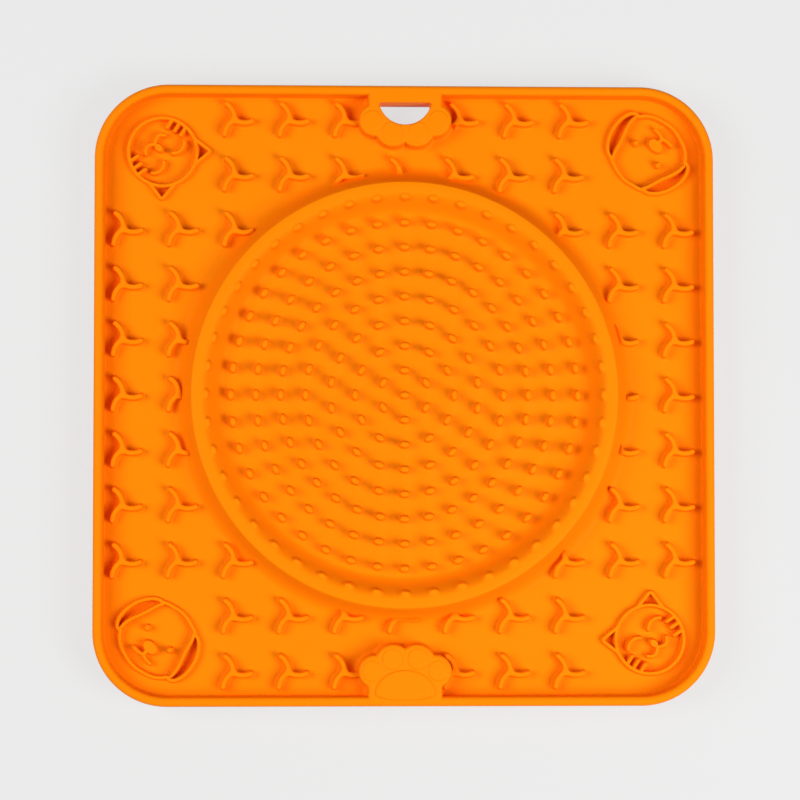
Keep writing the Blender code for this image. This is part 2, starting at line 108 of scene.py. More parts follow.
def smoothStep(share):
    # 0 below 0, 1 above 1, and an S curve without corners between them
    t = np.clip(share, 0.0, 1.0)
    return t * t * (3 - 2 * t)


def smoothMin(first, second, blend):
    # the lesser of two distances, with a round valley of the blend's width where they meet
    h = np.clip(0.5 + 0.5 * (second - first) / blend, 0.0, 1.0)
    return second + (first - second) * h - blend * h * (1 - h)


def evenTurns(steps):
    # angles of a whole turn in even steps
    return np.linspace(0, 2 * math.pi, steps, endpoint=False)


def towards(angle):
    # the cosine and sine of angles, as directions in the plane
    return together(np.cos(angle), np.sin(angle))


def volumeOf(points, faceSets):
    # signed volume: the sum over triangles of a . (b x c) / 6, positive when faces point outwards
    total = 0.0
    for faces in faceSets:
        for k in range(1, faces.shape[1] - 1):
            a, b, c = points[faces[:, 0]], points[faces[:, k]], points[faces[:, k + 1]]
            total += np.einsum("ij,ij->i", a, np.cross(b, c)).sum() / 6
    return total


def shellOf(points, *faceSets):
    # a closed surface as points and face sets, turned so that its faces point outwards
    points = np.asarray(points, float)
    if volumeOf(points, faceSets) < 0:
        faceSets = tuple(faces[:, ::-1] for faces in faceSets)
    return points, list(faceSets)


def ringShell(rings, poles=None):
    # rings of points joined by quads and closed by a pole at either end, or else last ring to first
    rows, steps = rings.shape[:2]
    points = rings.reshape(-1, 3)
    if poles is None:
        return shellOf(points, gridFaces(rows, steps, wrapRows=True, wrapCols=True))
    count = len(points)
    loop = np.arange(steps)
    ends = fanFaces(loop[::-1], count), fanFaces(loop + count - steps, count + 1)
    return shellOf(np.concatenate([points, poles]), gridFaces(rows, steps, wrapCols=True), *ends)


def roundedProfile(corners, steps=6):
    # a closed profile through (across, height, radius) corners, each an arc that touches its two sides
    spots = np.array([c[:2] for c in corners], float)
    profile = []
    for i, here in enumerate(spots):
        radius = corners[i][2]
        if radius <= 0:
            profile.append(here[None])
            continue
        back = spots[i - 1] - here
        ahead = spots[(i + 1) % len(spots)] - here
        back = back / np.linalg.norm(back)
        ahead = ahead / np.linalg.norm(ahead)
        half = math.acos(np.clip(back @ ahead, -1, 1)) / 2
        middle = here + (back + ahead) / np.linalg.norm(back + ahead) * radius / math.sin(half)
        start = here + back * radius / math.tan(half) - middle
        end = here + ahead * radius / math.tan(half) - middle
        turn = math.atan2(start[0] * end[1] - start[1] * end[0], start @ end)
        t = np.linspace(0, turn, steps + 1)[:, None]
        side = np.array([-start[1], start[0]])
        profile.append(middle + start * np.cos(t) + side * np.sin(t))
    return np.concatenate(profile)


def squareLoop(half, radius, perCorner, perSide):
    # a rounded square as points and outward normals: four quarter arcs with straight runs between them
    points, normals = [], []
    for quarter in range(4):
        turn = quarter * math.pi / 2
        arm = towards(turn + np.linspace(0, math.pi / 2, perCorner))
        arc = np.sign(towards(turn + math.pi / 4)) * (half - radius) + radius * arm
        run = np.linspace(0, 2 * (half - radius), perSide + 2)[1:-1, None]
        points += [arc, arc[-1] + towards(turn + math.pi) * run]
        normals += [arm, np.repeat(arm[-1:], perSide, axis=0)]
    return np.concatenate(points), np.concatenate(normals)


def circleLoop(radius, steps):
    # a circle about the mat's middle, in even steps
    return radius * towards(evenTurns(steps))


def turnedShell(profile, steps, centre):
    # an open profile (radius, height) turned about an upright axis, its ends closed on the axis
    angles = evenTurns(steps)
    x = centre[0] + profile[:, :1] * np.cos(angles)
    y = centre[1] + profile[:, :1] * np.sin(angles)
    poles = [[*centre, profile[0, 1]], [*centre, profile[-1, 1]]]
    return ringShell(together(x, y, profile[:, 1:]), poles)


def rayLoop(distance, centre, angles, level, reach, halvings=40):
    # how far rays run from a centre to a level of a distance function, found by halving the span
    low = np.zeros(len(angles))
    high = np.full(len(angles), float(reach))
    for _ in range(halvings):
        middle = (low + high) / 2
        x, y = centre[0] + middle * np.cos(angles), centre[1] + middle * np.sin(angles)
        inside = distance(x, y) < level
        low = np.where(inside, middle, low)
        high = np.where(inside, high, middle)
    return low


def fillFlat(outer, holes, merge=1e-7):
    # triangles between an outer loop and hole loops, numbered over the outer loop and then the holes
    loops = [outer, *holes]
    starts = np.cumsum([0] + [len(loop) for loop in loops])
    polygons = [list(range(a, b)) for a, b in zip(starts, starts[1:])]
    insideOnly = 1
    filled = delaunay_2d_cdt(np.concatenate(loops).tolist(), [], polygons, insideOnly, merge)
    _, _, triangles, pointSources, _, polygonSources = filled
    source = np.array([ids[0] for ids in pointSources])
    keep = np.array([len(ids) == 1 and ids[0] == 0 for ids in polygonSources])  # in no hole
    return source[np.array(triangles)[keep]]


def setInputs(node, values):
    # plain values on a shader node's sockets, by their names or numbers
    for name, value in values.items():
        node.inputs[name].default_value = value


def putObject(name, data):
    # a new object in the scene for a mesh, a lamp or a lens
    holder = bpy.data.objects.new(name, data)
    bpy.context.scene.collection.objects.link(holder)
    return holder


# Silicone: one saturated orange with a faint cloudiness and a soft, tinted sheen.
silicone = {
    "color": (0.985, 0.243, 0.002),
    "deepColor": (0.975, 0.228, 0.001),  # where the moulding is a little denser
    "roughness": (0.42, 0.58),  # least and most
    "mottleScale": 38.0,
    "grainScale": 2600.0,
    "grainHeight": 0.000004,  # metres
    "sheen": 0.12,  # specular level, and its tint below
    "sheenTint": (1.0, 0.6, 0.15),
}


def mouldedGrainGroup():
    # a cloudy mask from coarse noise and a fine grain from small noise, both on the surface's own place
    group = bpy.data.node_groups.new("mouldedGrain", "ShaderNodeTree")
    nodes, links = group.nodes, group.links
    inside = nodes.new("NodeGroupInput")
    outside = nodes.new("NodeGroupOutput")
    place = nodes.new("ShaderNodeTexCoord")
    for name, detail in (("Mottle", 3.0), ("Grain", 1.0)):  # octaves of finer noise in each
        group.interface.new_socket(name + " Scale", in_out="INPUT", socket_type="NodeSocketFloat")
        group.interface.new_socket(name, in_out="OUTPUT", socket_type="NodeSocketFloat")
        noise = nodes.new("ShaderNodeTexNoise")
        setInputs(noise, {"Detail": detail})
        links.new(place.outputs["Object"], noise.inputs["Vector"])
        links.new(inside.outputs[name + " Scale"], noise.inputs["Scale"])
        links.new(noise.outputs["Fac"], outside.inputs[name])
    return group


def siliconeMaterial():
    # the mottle mixes two oranges and sets the roughness, and the grain is a fine bump
    material = bpy.data.materials.new("orangeSilicone")
    material.use_nodes = True
    nodes, links = material.node_tree.nodes, material.node_tree.links
    shader = nodes["Principled BSDF"]
    setInputs(shader, {"Specular IOR Level": silicone["sheen"], "Specular Tint": (*silicone["sheenTint"], 1)})
    grain = nodes.new("ShaderNodeGroup")
    grain.node_tree = mouldedGrainGroup()
    setInputs(grain, {"Mottle Scale": silicone["mottleScale"], "Grain Scale": silicone["grainScale"]})
    tint = nodes.new("ShaderNodeMix")
    tint.data_type = "RGBA"
    setInputs(tint, {"A": (*silicone["deepColor"], 1), "B": (*silicone["color"], 1)})
    links.new(grain.outputs["Mottle"], tint.inputs["Factor"])
    links.new(tint.outputs["Result"], shader.inputs["Base Color"])
    dull = nodes.new("ShaderNodeMapRange")
    setInputs(dull, {"To Min": silicone["roughness"][0], "To Max": silicone["roughness"][1]})
    links.new(grain.outputs["Mottle"], dull.inputs["Value"])
    links.new(dull.outputs["Result"], shader.inputs["Roughness"])
    bump = nodes.new("ShaderNodeBump")
    setInputs(bump, {"Distance": silicone["grainHeight"]})
    links.new(grain.outputs["Grain"], bump.inputs["Height"])
    links.new(bump.outputs["Normal"], shader.inputs["Normal"])
    return material


orangeSilicone = siliconeMaterial()
print("silicone material ready")


def putPiece(name, shell, node, sharpAngle=50.0):
    # a surface in millimetres as a mesh object at the origin, riding on the mat in place of its CAD node
    points, faceSets = shell
    sizes = np.concatenate([np.full(len(faces), faces.shape[1]) for faces in faceSets])
    corners = np.concatenate([faces.ravel() for faces in faceSets])
    mesh = bpy.data.meshes.new(name)
    mesh.vertices.add(len(points))
    mesh.vertices.foreach_set("co", (points * mm).astype(np.float32).ravel())
    mesh.loops.add(len(corners))
    mesh.loops.foreach_set("vertex_index", corners.astype(np.int32))
    mesh.polygons.add(len(sizes))
    mesh.polygons.foreach_set("loop_start", (np.cumsum(sizes) - sizes).astype(np.int32))
    mesh.update(calc_edges=True)
    mesh.validate()
    mesh.shade_smooth()
    mesh.set_sharp_from_angle(angle=math.radians(sharpAngle))
    mesh.materials.append(orangeSilicone)
    piece = putObject(name, mesh)
    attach(piece, "root")
    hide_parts(node)
    print(name, len(points), "points", len(sizes), "faces")
    return piece


# Rim: a wall with a soft top edge, swept round the square, its inner foot running out on the floor.
rim = {
    "width": 3.2,
    "draft": 0.12,  # each side leans in by this much
    "topRound": 1.4,
    "footRound": 0.35,
    "bottomRound": 0.5,
    "skirt": 1.4,  # reach of the hidden skirt past the inner side
    "underStep": 0.2,  # width of the hidden step below the inner side
    "floorGap": 0.1,  # from the inner side to the floor's own edge
    "perCorner": 40,
    "perSide": 30,
}
floorEdge = matHalf - rim["width"] - rim["floorGap"]


def makeRim():
    # a closed profile carried round a rounded square, each point inwards along the square's normal
    inner = rim["width"]
    skirt = inner + rim["skirt"]
    corners = [  # inwards from the outer side, height, radius
        (0, underside, rim["bottomRound"]),
        (rim["draft"], rimTop, rim["topRound"]),
        (inner - rim["draft"], rimTop, rim["topRound"]),
        (inner + rim["draft"], floorLevel - mat["tuck"], rim["footRound"]),
        (skirt, floorLevel - 4 * mat["tuck"], 0),
        (skirt, deepLevel, 0),
        (inner, deepLevel, 0),
        (inner - rim["underStep"], underside, 0),
    ]
    profile = roundedProfile(corners)
    base, normals = squareLoop(matHalf, mat["cornerRadius"], rim["perCorner"], rim["perSide"])
    flat = base[None] - normals[None] * profile[:, None, :1]
    putPiece("rimWall", ringShell(together(flat[..., 0], flat[..., 1], profile[:, 1:])), "rim")


makeRim()

# Corner faces: raised lines on a disc the shape of the head. Across and up are the head's own
# directions, up being towards the mat's middle.
faceLine = {
    "half": 0.68,  # half of a line's width, at half its height
    "soft": 0.26,  # how far the line's rounded side reaches on either side of that
    "rays": 420,
    "reach": 20.0,  # longer than any ray from a head's middle to its edge
    "insideRows": 84,
    "edgeRows": 24,
    "edgeReach": 1.06,  # outer edge of the disc, past the outline's middle
    "headCentre": 79.08,  # from the mat's middle, along both sides
    "sunk": 1.0,  # the floor inside a head lies this much lower
    "earSunk": 1.4,  # and inside its ears
    "sharpAngle": 89.0,
}
cat = {
    "radius": 11.05,
    "earTurn": 46.0,
    "earRoot": (6.7, 5.48),  # distance from the middle and radius of the ear's wide end
    "earTip": (14.3, 0.8),
    "earBlend": 0.3,  # roundness of the corner between ear and head
    "earHalf": 4.3,  # half of the line across its root
    "whiskers": (-5.3, -2.85, -0.45),
    "whiskerLength": 3.1,
    "whiskerRise": 0.65,
    "eye": (4.6, 0.4, 3.43),  # across, up, radius of the arc
    "eyeTurn": 50.0,
    "nose": (0.0, -1.85, 1.2, 1.75),  # across, up, half width, half height
    "mouth": ((4.3, -3.3), (3.5, -4.25), (2.4, -4.65), (1.1, -4.3), (0.0, -3.5)),
}
dog = {
    "halfWide": 12.0,  # head without its ears
    "halfHigh": 11.15,
    "power": 2.4,  # of the head's oval: 2 is an ellipse, more is squarer
    "earBase": 11.5,  # circle that the ears' sides are measured from
    "earStart": 38.0,  # degrees from the head's top
    "earEnd": 122.0,
    "earOut": (1.5, 3.2),  # bulge at an ear's root and at its blunt low end
    "earBlunt": 6,  # power of the bulge: more makes its ends steeper
    "earIn": 1.9,  # how far the head draws in beside an ear
    "earBack": 0.8,  # share of the ear at which the drawn-in side is back on the circle
    "earReach": 0.95,  # share of the ear along which that side is drawn
    "earSteps": 28,
    "search": 20,  # degrees to either side in which the nearest outline is sought
    "eyes": (5.1, 0.3, 0.9, 1.15),
    "nose": (0.0, -3.6, 2.85, 1.95),
    "mouth": ((3.7, -7.2), (1.9, -7.25), (0.0, -6.75)),
    "lip": ((0.0, -5.2), (0.0, -6.75)),
}


def spanDistance(x, y, startX, startY, endX, endY, least=1e-12):
    # distance from points to straight spans: off the nearest place along the span, clamped to its ends
    stepX, stepY = endX - startX, endY - startY
    share = ((x - startX) * stepX + (y - startY) * stepY) / np.maximum(stepX**2 + stepY**2, least)
    share = np.clip(share, 0, 1)
    return np.hypot(x - startX - share * stepX, y - startY - share * stepY)


def pathDistance(x, y, path):
    # distance from points to a line through a few points: the least over its spans
    return np.min([spanDistance(x, y, *a, *b) for a, b in zip(path, path[1:])], axis=0)


def ovalDistance(x, y, oval):
    # distance from an oval's edge, below nought inside: scaled radius less one, times its smaller half
    across, up, wide, high = oval
    return (np.hypot((x - across) / wide, (y - up) / high) - 1) * min(wide, high)


def arcPath(centre, radius, start, end, steps=10):
    # points of an arc, its angles in degrees from straight up
    turns = np.radians(np.linspace(start, end, steps + 1))
    return centre + radius * together(np.sin(turns), np.cos(turns))


def smoothPath(path, steps=6):
    # a curve through given points, each stretch a cubic that runs along its neighbours' chord at its ends
    p = np.array([path[0], *path, path[-1]], float)
    t = np.linspace(0, 1, steps, endpoint=False)[:, None]
    curve = []
    for a, b, c, d in zip(p, p[1:], p[2:], p[3:]):
        curve.append(b + 0.5 * t * (c - a + t * (2 * a - 5 * b + 4 * c - d + t * (3 * (b - c) + d - a))))
    return np.concatenate([*curve, p[-1:]])


def taperDistance(up, across, root, tip):
    # distance from the hull of two circles on one axis, each given as (place on the axis, radius)
    length = tip[0] - root[0]
    lean = (root[1] - tip[1]) / length
    square = math.sqrt(1 - lean * lean)
    along = up - root[0]
    across = np.abs(across)
    reach = along * square - across * lean
    side = across * square + along * lean - root[1]
    side = np.where(reach < 0, np.hypot(along, across) - root[1], side)
    return np.where(reach > square * length, np.hypot(along - length, across) - tip[1], side)


def catHead(x, y):
    # distance from the cat's outline: a circle joined with two tapered, round-tipped ears
    head = np.hypot(x, y) - cat["radius"]
    for side in (-1, 1):
        turn = math.radians(side * cat["earTurn"])
        up = x * math.sin(turn) + y * math.cos(turn)
        across = x * math.cos(turn) - y * math.sin(turn)
        ear = taperDistance(up, across, cat["earRoot"], cat["earTip"])
        head = smoothMin(head, ear, cat["earBlend"])
    return head


def catLines(x, y):
    # distance from the cat's other lines: ear roots, whiskers, closed eyes, nose and mouth
    radius = cat["radius"]
    root = math.degrees(math.asin(cat["earHalf"] / radius))
    eyeX, eyeY, eyeRadius = cat["eye"]
    lines = [ovalDistance(x, y, cat["nose"]) + faceLine["half"]]
    for side in (-1, 1):
        turn = side * cat["earTurn"]
        paths = [arcPath((0, 0), radius, turn - root, turn + root)]
        for level in cat["whiskers"]:
            start = side * math.sqrt(radius**2 - level**2)
            paths.append([(start, level), (start - side * cat["whiskerLength"], level + cat["whiskerRise"])])
        paths.append(arcPath((side * eyeX, eyeY), eyeRadius, -cat["eyeTurn"], cat["eyeTurn"]))
        paths.append(smoothPath(np.array(cat["mouth"]) * (side, 1)))
        lines += [pathDistance(x, y, path) for path in paths]
    return np.min(lines, axis=0)


def catEars(x, y):
    # 1 in the cat's ears and 0 in its head
    return smoothStep((np.hypot(x, y) - cat["radius"]) / faceLine["half"])


def dogRadius(turn):
    # the dog's outline for degrees from its top: the farther of a squarish oval and a blunt-ended ear
    sine, cosine = np.sin(np.radians(turn)), np.cos(np.radians(turn))
    power = dog["power"]
    wide, high = np.abs(sine / dog["halfWide"]), np.abs(cosine / dog["halfHigh"])
    head = (wide**power + high**power) ** (-1 / power)
    away = np.abs((turn + 180) % 360 - 180)
    share = np.clip((away - dog["earStart"]) / (dog["earEnd"] - dog["earStart"]), 0, 1)
    root, end = dog["earOut"]
    bulge = (root + (end - root) * share) * np.sqrt(1 - (2 * share - 1) ** dog["earBlunt"])
    return np.maximum(head, dog["earBase"] + bulge)


def dogHead(x, y):
    # distance from the dog's outline: the nearest of its spans of one degree, to both sides of a point's ray
    turn = np.degrees(np.arctan2(x, y))
    nearest = np.full(np.shape(x), np.inf)
    for offset in range(-dog["search"], dog["search"]):
        start, end = turn + offset, turn + offset + 1
        nearA, nearB = dogRadius(start), dogRadius(end)
        a, b = np.radians(start), np.radians(end)
        ends = nearA * np.sin(a), nearA * np.cos(a), nearB * np.sin(b), nearB * np.cos(b)
        nearest = np.minimum(nearest, spanDistance(x, y, *ends))
    return np.where(np.hypot(x, y) < dogRadius(turn), -nearest, nearest)


def dogCheek(share):
    # the head's side within an ear, for shares of the ear: a wave that draws in and comes out again
    return dog["earBase"] - dog["earIn"] * np.sin(math.pi * share / dog["earBack"])


def dogEars(x, y):
    # 1 in the dog's ears and 0 in its head
    turn = np.abs(np.degrees(np.arctan2(x, y)))
    share = (turn - dog["earStart"]) / (dog["earEnd"] - dog["earStart"])
    beyond = smoothStep((np.hypot(x, y) - dogCheek(share)) / faceLine["half"])
    return beyond * (share > 0) * (share < 1)


def dogLines(x, y):
    # distance from the dog's other lines: the head's side within each ear, eyes, nose and mouth
    share = np.linspace(0, dog["earReach"], dog["earSteps"])
    turns = np.radians(dog["earStart"] + (dog["earEnd"] - dog["earStart"]) * share)
    cheek = dogCheek(share)[:, None] * together(np.sin(turns), np.cos(turns))
    across, up, wide, high = dog["eyes"]
    lines = [ovalDistance(x, y, dog["nose"]) + faceLine["half"], pathDistance(x, y, dog["lip"])]
    for side in (-1, 1):
        lines.append(pathDistance(x, y, cheek * (side, 1)))
        lines.append(ovalDistance(x, y, (side * across, up, wide, high)) + faceLine["half"])
        lines.append(pathDistance(x, y, smoothPath(np.array(dog["mouth"]) * (side, 1))))
    return np.min(lines, axis=0)


faceRays = evenTurns(faceLine["rays"])
headKinds = {"cat": (catHead, catLines, catEars), "dog": (dogHead, dogLines, dogEars)}
# each face: its kind, its CAD node, its corner (right, rear) and a nudge in millimetres
faceCorners = {
    "catFaceRearLeft": ("cat", "cat_face_rear_left", (-1, 1), (0.78, -0.34)),
    "catFaceFrontRight": ("cat", "cat_face_front_right", (1, -1), (0.27, 0.27)),
    "dogFaceRearRight": ("dog", "dog_face_rear_right", (1, 1), (0.19, -0.12)),
    "dogFaceFrontLeft": ("dog", "dog_face_front_left", (-1, -1), (-0.09, 0.45)),
}


def intoCorner(points, corner, nudge):
    # from the head's own directions to the mat's: the head's top points at the mat's middle
    scale = 1 / math.sqrt(2)
    up = (-corner[0] * scale, -corner[1] * scale)
    across = (up[1], -up[0])
    placed = np.array(points)
    for axis in (0, 1):
        centre = corner[axis] * faceLine["headCentre"] + nudge[axis]
        placed[..., axis] = centre + points[..., 0] * across[axis] + points[..., 1] * up[axis]
    return placed


def headReach(kind, level):
    # how far the rays run from the head's middle to its outline at an offset
    return rayLoop(headKinds[kind][0], (0, 0), faceRays, level, faceLine["reach"])


def faceHeight(kind, x, y):
    # an S curve of the distance from the nearest line, over a floor that is lower inside the outline and ears
    outline, lines, ears = headKinds[kind]
    edge = outline(x, y)
    away = np.minimum(np.abs(edge), lines(x, y))
    raised = smoothStep((faceLine["half"] + faceLine["soft"] - away) / (2 * faceLine["soft"]))
    sunk = faceLine["sunk"] + (faceLine["earSunk"] - faceLine["sunk"]) * ears(x, y)
    base = floorLevel - sunk * smoothStep(-edge / faceLine["half"])
    return base + (faceTop - base) * raised


def faceRings(kind):
    # a disc on rays, even steps to just inside the outline and then across it, with a wall and two poles
    edge = faceLine["edgeReach"]
    shares = np.linspace(0, 1, faceLine["insideRows"])[1:, None]
    levels = np.linspace(-edge, edge, faceLine["edgeRows"])[1:]
    across = np.array([headReach(kind, level) for level in levels])
    radii = np.concatenate([shares * headReach(kind, -edge), across, across[-1:]])
    x = radii * np.cos(faceRays)
    y = radii * np.sin(faceRays)
    z = faceHeight(kind, x, y)
    z[-2:] = [[floorLevel - 2 * mat["tuck"]], [deepLevel]]
    middle = faceHeight(kind, np.zeros(1), np.zeros(1))[0]
    return together(x, y, z), np.array([[0.0, 0.0, middle], [0.0, 0.0, deepLevel]])


def makeFaces():
    # each kind of head is worked out once and put into its two corners
    heads = {kind: faceRings(kind) for kind in headKinds}
    for name, (kind, node, corner, nudge) in faceCorners.items():
        rings, poles = [intoCorner(points, corner, nudge) for points in heads[kind]]
        putPiece(name, ringShell(rings, poles), node, faceLine["sharpAngle"])


makeFaces()

# Paw-shaped tabs: blocks on the floor, level with the rim, drawn with x off the middle line and y in
# from the mat's edge.
paw = {
    "neckHalf": 12.0,
    "back": 0.6,  # the block's hidden end, inside the rim
    "outerToe": (9.75, 11.25, 5.3),  # side, in from the edge, radius
    "innerToe": (3.8, 13.95, 6.0),
    "notch": 0.35,  # roundness of the notches between toes
    "topRound": 1.2,
    "footRound": 1.1,
    "roundSteps": 7,
    "sideLean": (0.06, 0.1),  # how far the side has come out where it ends, and where the foot's round starts
    "sideEnd": 0.3,  # height of the side's end over the foot's round
    "skirt": 0.1,  # reach of the hidden skirt past the foot's round
    "outerPad": (10.6, 11.5, 3.3),
    "innerPad": (4.1, 15.2, 3.4),
    "heelPad": (9.7, 4.3, 7.5, 2.3),  # half width, its widest place, reach inwards, reach towards the edge
    "heelFade": (1.2, 3.2),  # the pad dies away between these distances from the edge
    "heelPower": 1.95,  # of its oval: 2 is an ellipse
    "heelScale": 0.8,  # makes the oval's own measure about a distance
    "heelShare": 1.6,  # strength of the heel's pad against the toes'
    "padRise": 0.28,
    "padSoft": 0.4,
    "groove": 0.16,
    "grooveHalf": 0.28,
    "slotTabShare": 0.7,  # strength of the pads on the tab with the slot
    "rays": 360,
    "rows": 70,
    "reach": 40.0,  # longer than any ray from the tab's middle to its edge
}
slot = {
    "edge": 5.65,
    "depth": 7.1,
    "radius": 8.6,
    "cornerRound": 0.8,
    "lipRound": 0.5,
    "lipSteps": 6,
    "step": 0.04,  # the hole in the floor is this much larger
    "middle": (0.0, 8.6),
}


def pawDistance(x, y):
    # distance from a paw: a neck joined with four round toes
    side = np.abs(x)
    neckX = side - paw["neckHalf"]
    neckY = np.maximum(paw["back"] - y, y - paw["outerToe"][1])
    outside = np.hypot(np.maximum(neckX, 0), np.maximum(neckY, 0))
    shape = np.minimum(np.maximum(neckX, neckY), 0) + outside
    for toeX, toeY, radius in (paw["outerToe"], paw["innerToe"]):
        shape = smoothMin(shape, np.hypot(side - toeX, y - toeY) - radius, paw["notch"])
    return shape


def slotDistance(x, y):
    # distance from the hang slot: a circle cut off flat on the side of the mat's edge, with soft corners
    circle = np.hypot(x, y - slot["edge"] - slot["depth"] + slot["radius"]) - slot["radius"]
    return -smoothMin(-circle, y - slot["edge"], slot["cornerRound"])


def padDistance(x, y):
    # distance from the nearest of the four round toe pads
    side = np.abs(x)
    pads = [np.hypot(side - a, y - b) - r for a, b, r in (paw["outerPad"], paw["innerPad"])]
    return np.min(pads, axis=0)


def heelDistance(x, y):
    # distance from the heel's pad, an oval that is fuller towards the toes
    half, middle, inwards, back = paw["heelPad"]
    up = np.where(y > middle, (y - middle) / inwards, (middle - y) / back)
    power = paw["heelPower"]
    oval = ((np.abs(x) / half) ** power + up**power) ** (1 / power) - 1
    return oval * inwards * paw["heelScale"]


def padShape(away):
    # an S curve up to a pad that stands a little proud, inside a fine groove that is a bell curve
    rise = paw["padRise"] * smoothStep(0.5 - away / paw["padSoft"])
    return rise - paw["groove"] * np.exp(-((away / paw["grooveHalf"]) ** 2))


def pawRelief(x, y, withHeel):
    # the toes' pads, fainter beside a slot, and the heel's pad, which dies away towards the rim
    if not withHeel:
        return paw["slotTabShare"] * padShape(padDistance(x, y))
    start, end = paw["heelFade"]
    fade = paw["heelShare"] * smoothStep((y - start) / (end - start))
    return padShape(padDistance(x, y)) + fade * padShape(heelDistance(x, y))


def tabSide(top):
    # (distance from the paw, height): over its round edge, down its side, out on the floor and under it
    edge, foot = paw["topRound"], paw["footRound"]
    t = np.linspace(0, math.pi / 2, paw["roundSteps"])
    sideOut, footOut = paw["sideLean"]
    skirt = footOut + foot + paw["skirt"]
    over = together(edge * (np.sin(t) - 1), top + edge * (np.cos(t) - 1))
    down = [(sideOut, floorLevel + foot + paw["sideEnd"])]
    out = together(footOut + foot - foot * np.cos(t), floorLevel + foot - foot * np.sin(t))
    under = [(skirt, floorLevel - 3 * mat["tuck"]), (skirt, deepLevel)]
    return np.concatenate([over, down, out, under])


def slotSide(top):
    # (distance from the slot, height): up its wall and over its round lip
    lip = slot["lipRound"]
    t = np.linspace(math.pi / 2, 0, slot["lipSteps"])
    over = together(lip - lip * np.sin(t), top - lip + lip * np.cos(t))
    return np.concatenate([[(0.0, deepLevel)], over])


def tabRings(distance, rays, steps):
    # radii on the rays and heights of the rings at each step's (distance, height)
    radii = [rayLoop(distance, slot["middle"], rays, level, paw["reach"]) for level in steps[:, 0]]
    return np.array(radii), np.repeat(steps[:, 1:], len(rays), axis=1)


def makeTab(name, node, rear, withSlot):
    # rings on rays from the slot or the middle out to the paw's edge, and on down the paw's side
    rays = evenTurns(paw["rays"])
    middle = slot["middle"]
    top = rimTop + mat["tuck"]
    slotRadii = slotHeights = np.zeros((0, len(rays)))
    start = 0.0
    if withSlot:
        slotRadii, slotHeights = tabRings(slotDistance, rays, slotSide(top))
        start = slotRadii[-1]
    sideRadii, sideHeights = tabRings(pawDistance, rays, tabSide(top))
    shares = np.linspace(0, 1, paw["rows"] + 1)[1:-1, None]
    radii = np.concatenate([slotRadii, start + shares * (sideRadii[0] - start), sideRadii])
    x = middle[0] + radii * np.cos(rays)
    y = np.maximum(middle[1] + radii * np.sin(rays), paw["back"])
    first = len(slotRadii)
    last = first + len(shares)
    topHeights = top + pawRelief(x[first:last], y[first:last], not withSlot)
    z = np.concatenate([slotHeights, topHeights, sideHeights])
    poles = None
    if not withSlot:
        poleY = rear * (matHalf - middle[1])
        peak = top + pawRelief(np.zeros(1), np.full(1, middle[1]), True)[0]
        poles = [[0.0, poleY, peak], [0.0, poleY, deepLevel]]
    putPiece(name, ringShell(together(-rear * x, rear * (matHalf - y), z), poles), node)


makeTab("hangTab", "hang_tab", 1, True)
makeTab("pawTab", "paw_tab", -1, False)

# Floor with its three-armed ridges, one closed surface: the flat is filled in between the ridges' feet.
ridge = {
    "pitch": 17.83,
    "rows": 5,  # to either side of the middle one, and as many columns
    "reach": 6.4,  # from the hub to an arm's tip, in a straight line
    "turn": 66.0,  # degrees that an arm bends through
    "rearShift": 1.6,  # the rear row's right half stands this much further right
    "faceRoom": 22.3,  # hubs keep this far from a corner face's middle
    "half": 0.8,  # half of an arm's width
    "hubRound": 0.3,  # fills the corners between arms
    "crown": 0.4,  # an arm's rounded top stands this much over the CAD's flat one
    "fade": (70.4, 2.6),  # from this far out a ridge rises out of the ring's side, over this distance
    "stub": (3, 2),  # points that the arm beside the hang tab keeps on its right and left side
    "sideSteps": 7,
    "tipSteps": 6,
    # (distance from the arm's middle line, share of the height) from foot to top
    "profile": ((1.95, 0.0), (1.45, 0.0), (1.14, 0.05), (0.98, 0.18), (0.9, 0.42),
                (0.84, 0.74), (0.75, 0.91), (0.57, 0.98), (0.27, 1.0)),
}
floorPlate = {
    "bowlHole": 0.5,  # the hole for the dish is this much larger
    "bowlSteps": 300,
    "faceTuck": 0.2,  # a corner face's edge covers this much of the floor
    "slotRays": 160,
}


def armLoop(offset):
    # an outline at an offset from three bent middle lines: each arm's right side, round tip and left side
    turn = math.radians(ridge["turn"])
    radius = ridge["reach"] / (2 * math.sin(turn / 2))
    between = math.pi / 3  # half of the angle between two arms
    s = np.linspace(offset / math.tan(between), radius * turn - ridge["half"], ridge["sideSteps"])
    cap = np.linspace(-math.pi / 2, math.pi / 2, ridge["tipSteps"] + 1)[1:-1]
    corner = offset / math.sin(between) + ridge["hubRound"]
    loop = []
    for arm in range(3):
        start = math.radians(120 * arm) - turn / 2
        heading = start + s / radius
        right = together(np.sin(heading), -np.cos(heading))
        line = radius * (right - (math.sin(start), -math.cos(start)))
        rightSide = line + offset * right
        leftSide = line - offset * right
        rightSide[0] = corner * towards(start - between)
        tip = line[-1] + offset * towards(heading[-1] + cap)
        loop += [rightSide, tip, leftSide[:0:-1]]
    return np.concatenate(loop)


def ridgeHubs():
    # hubs of the grid that the bowl, the corner faces and the tabs leave room for
    last = ridge["rows"]
    steps = np.arange(-last, last + 1)
    column, row = [a.ravel() for a in np.meshgrid(steps, steps)]
    x, y = column * ridge["pitch"], row * ridge["pitch"]
    onTab = (np.abs(x) < paw["neckHalf"]) & (np.abs(row) == last)
    inBowl = np.hypot(x, y) + ridge["reach"] / 2 < bowlRadius
    centre = faceLine["headCentre"]
    onFace = np.hypot(np.abs(x) - centre, np.abs(y) - centre) < ridge["faceRoom"]
    keep = ~(onTab | inBowl | onFace)
    shift = np.where((row == last) & (column > 0), ridge["rearShift"], 0.0)
    return together(x + shift - ridge["reach"] / 4, y)[keep]  # this centres the three arms


